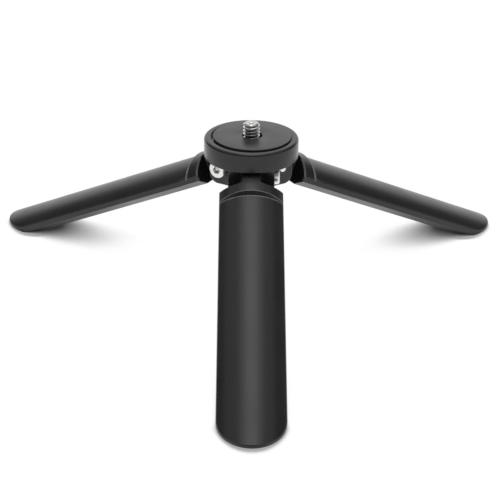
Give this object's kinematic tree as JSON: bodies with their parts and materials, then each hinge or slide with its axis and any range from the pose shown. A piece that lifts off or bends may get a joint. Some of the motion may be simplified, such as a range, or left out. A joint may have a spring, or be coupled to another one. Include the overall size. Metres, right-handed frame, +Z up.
{
  "type": "folding mini tabletop tripod",
  "caption": "Mini tabletop tripod with a round padded head, a standard camera screw and curved legs that hinge on a forked hub and fold together into a round bar.",
  "frame": {"origin": "on the camera screw's axis, at the pad's top face where the camera sits", "axes": "+Z up along the camera screw, one leg towards -Y, the other two towards +X+Y and -X+Y"},
  "size_m": [0.2046, 0.1803, 0.0661],
  "materials": {
    "black_anodised": "satin black anodised",
    "rubber_pad": "matte, fine grain",
    "rubber_foot": "matte",
    "bright_steel": "bright turned and plated steel",
    "nylon": "black nylon"
  },
  "bodies": {
    "head": {"head_disc": "black_anodised", "anti_slip_pad": "rubber_pad", "camera_screw": "bright_steel", "hub": "black_anodised", "dowel_pin": "bright_steel", "pivot_screw_front": "bright_steel", "washer_front_a": "nylon", "washer_front_b": "nylon", "pivot_screw_left": "bright_steel", "washer_left_a": "nylon", "washer_left_b": "nylon", "pivot_screw_right": "bright_steel", "washer_right_a": "nylon", "washer_right_b": "nylon"},
    "leg_front": {"leg_front": "black_anodised", "foot_pad_front": "rubber_foot"},
    "leg_left": {"leg_left": "black_anodised", "foot_pad_left": "rubber_foot"},
    "leg_right": {"leg_right": "black_anodised", "foot_pad_right": "rubber_foot"}
  },
  "joints": [
    {"name": "fold_front", "type": "hinge", "parent": "head", "child": "leg_front", "pos_m": [0, -0.009, -0.0124], "axis": [1, 0, 0], "range_deg": [0, 63.75]},
    {"name": "fold_left", "type": "hinge", "parent": "head", "child": "leg_left", "pos_m": [-0.00779, 0.0045, -0.0124], "axis": [-0.5, -0.866, 0], "range_deg": [0, 63.75]},
    {"name": "fold_right", "type": "hinge", "parent": "head", "child": "leg_right", "pos_m": [0.00779, 0.0045, -0.0124], "axis": [-0.5, 0.866, 0], "range_deg": [0, 63.75]}
  ]
}
